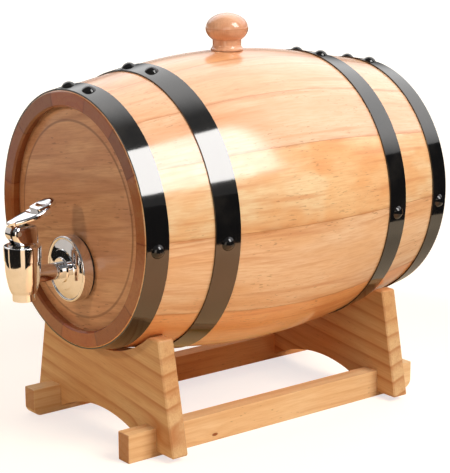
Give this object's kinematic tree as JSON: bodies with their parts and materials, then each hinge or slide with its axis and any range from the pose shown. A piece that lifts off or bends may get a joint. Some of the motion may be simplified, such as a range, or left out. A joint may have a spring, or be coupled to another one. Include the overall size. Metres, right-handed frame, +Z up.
{
  "type": "oak cask liquor dispenser",
  "caption": "Small hooped wooden cask lying on a wooden cradle, with a chrome flip-lever tap in its front head and a turned wooden bung on top.",
  "frame": {"origin": "on the surface the cradle stands on, below the middle of the whole object's box", "axes": "+Z up, +Y along the cask away from the tap, +X to the right of someone facing the tap"},
  "size_m": [0.207, 0.3145, 0.2816],
  "materials": {
    "stave_wood": "gloss lacquer over pale wood",
    "head_wood": "clear gloss lacquer over warmer wood, grain lying level",
    "cradle_wood": "satin lacquer over knotty pine with growth rings on the ends",
    "knob_wood": "turned and gloss lacquered",
    "hoop_steel": "gloss black",
    "nail_steel": "gloss black, domed",
    "tap_chrome": "bright polished plating",
    "dark_rubber": "matt black",
    "clear_silicone": "milky silicone",
    "bare_steel": "bright stainless",
    "screw_steel": "yellow zinc plated, countersunk"
  },
  "bodies": {
    "cradle": {"front_cradle_board": "cradle_wood", "rear_cradle_board": "cradle_wood", "left_rail": "cradle_wood", "right_rail": "cradle_wood", "cradle_screws": "screw_steel"},
    "cask": {"stave_01": "stave_wood", "stave_02": "stave_wood", "stave_03": "stave_wood", "stave_04": "stave_wood", "stave_05": "stave_wood", "stave_06": "stave_wood", "stave_07": "stave_wood", "stave_08": "stave_wood", "stave_09": "stave_wood", "stave_10": "stave_wood", "stave_11": "stave_wood", "stave_12": "stave_wood", "front_head": "head_wood", "rear_head": "head_wood", "front_chime_hoop": "hoop_steel", "front_bilge_hoop": "hoop_steel", "rear_bilge_hoop": "hoop_steel", "rear_chime_hoop": "hoop_steel", "front_chime_hoop_nails": "nail_steel", "front_bilge_hoop_nails": "nail_steel", "rear_bilge_hoop_nails": "nail_steel", "rear_chime_hoop_nails": "nail_steel", "flange_gasket": "dark_rubber", "tap_flange": "tap_chrome", "tap_stem": "tap_chrome", "inner_washer": "dark_rubber", "stem_nut": "bare_steel", "tap_body": "tap_chrome", "tap_nozzle": "tap_chrome", "tap_cap": "tap_chrome", "lever_bracket": "tap_chrome", "lever_pin": "bare_steel", "stem_seal": "dark_rubber"},
    "bung": {"bung_knob": "knob_wood", "bung_seal": "clear_silicone"},
    "lever": {"tap_lever": "tap_chrome"},
    "valve": {"valve_stem": "bare_steel", "seat_washer": "dark_rubber", "return_spring": "bare_steel"}
  },
  "joints": [
    {"name": "cask_lift", "type": "slide", "parent": "cradle", "child": "cask", "axis": [0, 0, 1], "range_m": [0, 0.15]},
    {"name": "bung_pull", "type": "slide", "parent": "cask", "child": "bung", "axis": [0, 0, 1], "range_m": [0, 0.045]},
    {"name": "lever_flip", "type": "hinge", "parent": "cask", "child": "lever", "pos_m": [0, -0.15015, 0.1499], "axis": [1, 0, 0], "range_deg": [0, 70]},
    {"name": "valve_lift", "type": "slide", "parent": "cask", "child": "valve", "axis": [0, 0, 1], "range_m": [0, 0.0046], "deforming": ["return_spring"]}
  ],
  "couplings": [
    {"joint": "valve_lift", "follows": "lever_flip", "m_per_rad": 0.0036833}
  ]
}
